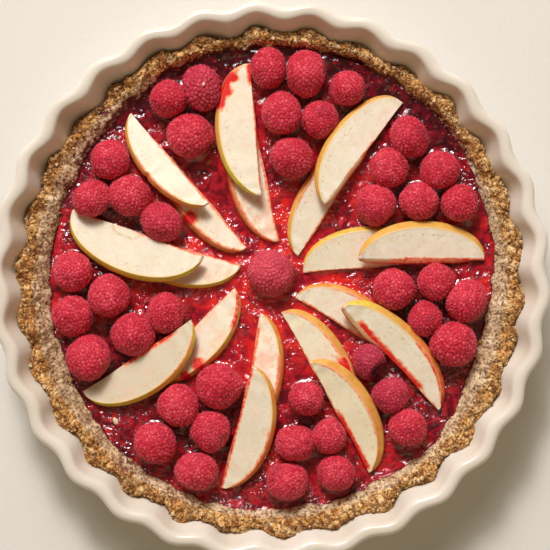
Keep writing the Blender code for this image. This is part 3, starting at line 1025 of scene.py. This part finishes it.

# Shares run from 0 at a slice's inner tip to 1 at its outer tip, and from 0 at its core side to 1 at its
# skin. The rest is in mm.
#   blush: the skin's colour at the inner and outer tip, 0 olive, 0.35 golden, 0.7 orange, 1 red
#   show: how wide a band of skin shows from above; sharp: how slim its inner and outer tips are
#   lip: where the core face slants out and shows, as (from, to, width)
#   wash, green, painted_flesh_shade: shares of pink, green and painted shade in the flesh; chip, cavity:
#       share along
#   core, skin, face: stains along an edge or on the lip, as (from, to, depth, strength)
#   spots: stains as (share along, share across, radius)
PLAIN_SLICE = dict(
    show=1.4, sharp=(1, 1), lip=(0, 0, 0), wash=0, green=0, painted_flesh_shade=0, core=(), skin=(), face=(), spots=()
)
SLICE_LOOKS = dict(
    north_outer=dict(
        blush=(0, 0.75), sharp=(1.2, 0.9), painted_flesh_shade=0.22, core=((0.84, 1, 2, 1), (0.05, 0.86, 0.6, 0.7)),
        skin=((0.66, 0.95, 2.2, 1),), spots=((0.8, 0.88, 4.6), (0.9, 0.8, 3.6)),
    ),
    north_inner=dict(
        blush=(0.75, 0.9), show=1.2, sharp=(1.1, 1.1), wash=0.5, core=((0, 1, 1.1, 0.62),),
        skin=((0, 1, 1, 0.58),),
    ),
    northeast_outer=dict(
        blush=(0.35, 0.5), sharp=(1.15, 0.8), lip=(0, 0.5, 2), core=((0.25, 0.62, 0.6, 0.6),),
    ),
    northeast_inner=dict(
        blush=(0.35, 0.7), sharp=(1.1, 1), core=((0.1, 0.9, 0.7, 0.6),), skin=((0.3, 0.8, 0.7, 0.5),),
    ),
    east_outer=dict(
        blush=(0.4, 0.4), show=2.6, sharp=(1.1, 0.9), lip=(0, 0.85, 2.4), core=((0.35, 1, 0.8, 0.75),),
        face=((0.25, 0.9, 2.4, 0.6),),
    ),
    east_inner=dict(blush=(0.2, 0.25), sharp=(0.95, 1), green=0.25, core=((0, 0.6, 0.6, 0.55),)),
    southeast_outer=dict(
        blush=(0.12, 0.98), show=2.6, sharp=(0.9, 1.2), lip=(0, 0.34, 2.8), green=0.15,
        core=((0.16, 0.8, 2.5, 1), (0.8, 1, 0.7, 0.5)), skin=((0.52, 0.93, 0.9, 0.7),),
    ),
    southeast_inner=dict(
        blush=(0.5, 0.75), show=1.5, wash=0.2, core=((0.05, 0.95, 1, 0.62),),
        skin=((0.25, 0.9, 0.9, 0.5),),
    ),
    south_southeast_outer=dict(
        blush=(0.42, 0.55), show=3.6, sharp=(1, 1.05), green=0.6,
        core=((0.45, 0.97, 2, 1), (0.03, 0.45, 0.6, 0.45)), skin=((0.02, 0.75, 0.9, 0.42),),
    ),
    south_southeast_inner=dict(
        blush=(0.42, 0.7), show=2.8, green=0.35, core=((0.08, 0.6, 0.7, 0.55),),
        skin=((0.52, 0.95, 2.6, 1), (0, 0.5, 0.8, 0.42)),
    ),
    south_outer=dict(
        blush=(0.5, 0.55), show=1.5, sharp=(1, 1.15), wash=0.1, green=0.15, painted_flesh_shade=0.3,
        core=((0, 1, 1.3, 0.75),), skin=((0.45, 0.95, 1, 0.55),),
    ),
    south_inner=dict(
        blush=(0.5, 0.8), show=1.6, sharp=(1.1, 1), wash=0.5, core=((0.1, 1, 1.4, 0.65),),
        skin=((0.3, 1, 1.1, 0.55),),
    ),
    southwest_outer=dict(
        blush=(0.15, 0), show=1.5, sharp=(1.1, 0.95), wash=0.15, green=0.2, painted_flesh_shade=0.62,
        core=((0.14, 0.62, 1.9, 0.8),), skin=((0.05, 0.4, 0.5, 0.55),),
    ),
    southwest_inner=dict(
        blush=(0.3, 0.1), sharp=(1.15, 1), wash=0.35, green=0.1, painted_flesh_shade=0.3, core=((0, 0.6, 0.5, 0.5),),
        skin=((0, 0.25, 1.4, 0.8),), spots=((0.62, 0.85, 4.4), (0.76, 0.95, 3.6)),
    ),
    west_outer=dict(
        blush=(0.08, 0.02), show=1.7, sharp=(1, 0.85), painted_flesh_shade=0.42, cavity=0.58,
        core=((0.78, 0.97, 1.3, 0.7), (0.05, 0.5, 0.8, 0.65)),
    ),
    west_inner=dict(
        blush=(0.15, 0.05), show=1.1, sharp=(1.1, 1), wash=0.35, painted_flesh_shade=0.2, core=((0, 0.7, 1, 0.75),),
    ),
    northwest_outer=dict(
        blush=(0.6, 0.38), sharp=(1, 1.2), painted_flesh_shade=0.22, chip=0.5, core=((0.03, 0.75, 0.8, 0.52),),
        skin=((0.15, 0.7, 0.7, 0.5),),
    ),
    northwest_inner=dict(
        blush=(0.6, 0.8), wash=0.25, painted_flesh_shade=0.15, core=((0, 1, 1, 0.62),), skin=((0, 0.7, 1, 0.6),),
        spots=((0.5, 0.85, 5.2),),
    ),
)


def slice_section(width, thickness, core, show, lip):
    """One cut across a slice, from its core side over the top and round the skin to the underside.

    Returns how far across and up each point is, and 1 for skin.
    """
    bulge = min(1.0, width / 6) * SKIN_BULGE
    skin_top = max(width - show * min(1.0, width / 6), width * 0.3)
    ys, zs = [-lip, -0.66 * lip, -0.33 * lip, 0.1], [core * 0.1, core * 0.4, core * 0.7, core]
    # Rows lie closer together near both edges, where the stains and the skin are
    share = (1 - np.cos(np.pi * np.arange(1, TOP_ROWS + 1) / TOP_ROWS)) / 2
    ys += (0.1 + (skin_top - 0.1) * share).tolist()
    zs += (core + (thickness - core) * share).tolist()
    turned = np.pi * np.arange(1, SKIN_ROWS + 1) / (SKIN_ROWS + 0.5)
    share = (1 - np.cos(turned)) / 2
    ys += (skin_top + (width - skin_top) * smooth(0, 0.6, share) + bulge * np.sin(turned)).tolist()
    zs += (thickness * (1 - share)).tolist()
    below = [0.8, 0.5, 0.2, 0.02]
    ys += [width * share for share in below]
    zs += [0.0] * len(below)
    skin = [0] * (TOP_ROWS + 4) + [1] * SKIN_ROWS + [0] * len(below)
    return np.array(ys), np.array(zs), np.array(skin, float)


def stretch_between(share, first, last, soft=0.04):
    """1 between two shares of the way along a slice, fading out past them."""
    return float(smooth(first - soft, first + soft, share) * smooth(last + soft, last - soft, share))


def slice_stain(looks, piece, share, x, y, z, edge):
    """How red each point of a cut is: bands along its edges and spots, from 0 to 1."""
    stain = np.maximum(0.32 * smooth(0.7, 0.0, np.abs(y)), 0.9 * smooth(0.7, 0.1, z))
    for side in ("core", "skin", "face"):
        for first, last, depth, strength in looks[side]:
            if side == "core":
                band = smooth(depth * 1.5, depth * 0.4, y) * (y > -0.1)
            elif side == "skin":
                band = smooth(depth * 1.4, depth * 0.5, np.abs(edge - y))
            else:
                band = (y < 0.05) * (z > 0)
            stain = np.maximum(stain, stretch_between(share, first, last) * strength * band)
    for along, across, radius in looks["spots"]:
        cut = piece.width * math.sin(math.acos(1 - 2 * along))
        away = np.hypot(x - piece.length * (along - 0.5), y - across * cut)
        stain = np.maximum(stain, smooth(radius * 1.15, radius * 0.4, away))
    return stain


def make_slice(piece, seed):
    """A wedge of apple: cut faces a little uneven, a round skin, and jelly creeping in at the edges."""
    key = piece.node.removeprefix("apple_slice_")
    looks = {**PLAIN_SLICE, **SLICE_LOOKS[key]}
    sharp = looks["sharp"]
    lip_from, lip_to, lip_width = looks["lip"]
    phase = np.random.default_rng(seed).random(3) * 6
    rows, cuts = [], []
    for turned in np.linspace(0, math.pi, SLICE_STATIONS + 1):
        share = (1 - math.cos(turned)) / 2
        x = piece.length * (share - 0.5)
        depth = max(math.sin(turned), 0.0) ** (sharp[0] + (sharp[1] - sharp[0]) * share)
        width = max(piece.width * depth, 0.12)
        if "chip" in looks:
            width -= 0.8 * math.exp(-(((share - looks["chip"]) * piece.length / 1.4) ** 4))
        thickness = CORE_THICKNESS + (piece.skin - CORE_THICKNESS) * depth
        end = float(smooth(0.0, 0.25, math.sin(turned)))
        flatten = 0.45 + 0.55 * end
        lip = lip_width * stretch_between(share, lip_from, lip_to, 0.1) * end
        y, z, skin = slice_section(width, thickness * flatten, CORE_THICKNESS * flatten, looks["show"], lip)
        edge = y[TOP_ROWS + 3]
        # The cut isn't quite straight or flat
        y = y + 0.25 * end * math.sin(x * 0.16 + phase[0]) * (1 - y / (width + 1))
        wave = math.sin(x * 0.22 + phase[1]) + math.sin(x * 0.11 + width + phase[2])
        z = z + (z > 0.5) * 0.12 * end * wave
        rows.append(np.stack([np.full(len(y), x), y, z], axis=1))
        cut = {"skin": skin, "side": np.zeros(len(y)), "line": np.zeros(len(y))}
        # Painted shade on the core side's cut face, stronger where it slants out and shows
        cut["side"][:3] = 0.85 if lip > 0.3 else 0.3
        if "cavity" in looks:
            centre = piece.length * (looks["cavity"] - 0.5)
            oval = np.hypot((x - centre) / 7.5, (y - 0.5) / 3.6)
            cut["line"] = smooth(0.13, 0.03, np.abs(oval - 1)) * 0.8 * (1 - skin)
        cut["stain"] = slice_stain(looks, piece, share, x, y, z, edge)
        cut["rim"] = smooth(1.3, 0.1, edge - y) * (1 - skin) * (width > 3)
        cut["vein"] = smooth(1.3, 0.3, np.abs(edge - y - VEIN_DEPTH * depth)) * (1 - skin)
        cuts.append(cut)
    local = np.concatenate(rows)
    tones = {name: np.concatenate([cut[name] for cut in cuts]) for name in cuts[0]}
    tones["blush"] = np.interp(local[:, 0] / piece.length + 0.5, (0, 1), looks["blush"])
    for name in ("green", "wash", "painted_flesh_shade"):
        tones[name] = looks[name]
    faces = tube_faces(len(rows), len(rows[0]), flipped=True)
    add_piece(f"apple_{key}", piece.world(local), faces, APPLE, piece.node, tones)


# --- floor, light and camera

CAMERA_ABOVE = 1.0  # metres over the rim
VIEW_WIDTH = 0.2731  # metres across the picture at the rim
DAYLIGHT = (1.0, 0.985, 0.975)
LAMPLIGHT = (1.0, 0.80, 0.55)


def make_stage():
    """A plain pale floor."""
    bpy.ops.mesh.primitive_plane_add(size=6)
    floor = bpy.context.object
    floor.name = "floor"
    mat = Shader("pale_floor")
    weave = mat.blend(mat.noise(2.0), (0.74, 0.71, 0.66), (0.80, 0.77, 0.72))
    floor.data.materials.append(mat.finish(Base_Color=weave, Roughness=0.9))


def add_light(name, place, size, power, colour):
    """A soft square light that points at the tart."""
    data = bpy.data.lights.new(name, "AREA")
    data.shape = "SQUARE"
    data.size = size
    data.energy = power
    data.color = colour
    light = add_object(name, data)
    light.location = place
    light.rotation_euler = light.location.to_track_quat("Z", "Y").to_euler()
    light.visible_camera = False


def make_camera():
    data = bpy.data.cameras.new("camera")
    data.sensor_width = 36
    data.lens = 36 * CAMERA_ABOVE / VIEW_WIDTH
    camera = add_object("camera", data)
    camera.location = (0.0024, 0.0033, DISH_TOP * MM + CAMERA_ABOVE)
    bpy.context.scene.camera = camera


def make_world():
    """A warm room, darker overhead than near the horizon, so that the wet jelly mirrors a dark ceiling."""
    world = bpy.data.worlds.new("soft_room")
    bpy.context.scene.world = world
    world.use_nodes = True
    room = Nodes(world.node_tree)
    up = room.node("SeparateXYZ", "Z", {"Vector": room.node("TexCoord", "Generated")})
    levels = {"From Min": 0.3, "From Max": 0.95, "To Min": 0.34, "To Max": 0.09}
    sky = world.node_tree.nodes["Background"]
    room.set(sky.inputs["Color"], (1.0, 0.82, 0.53))
    room.set(sky.inputs["Strength"], room.node("MapRange", "Result", {"Value": up, **levels}))


make_stage()
make_world()
make_camera()
# A large window and the brightest part of the sky seen through it
add_light("window", (-0.46, 2.02, 2.12), 1.5, 50, DAYLIGHT)
add_light("bright_pane", (-0.48, 2.02, 2.12), 0.55, 50, DAYLIGHT)
add_light("reflector", (0.3, -1.0, 1.1), 1.2, 1.5, LAMPLIGHT)
bpy.context.scene.view_settings.view_transform = "Standard"

make_dish()
make_crumbs(*make_crust())
make_jelly()
make_flakes()
make_berries()
for number, piece in enumerate(SLICES):
    make_slice(piece, 40 + number)
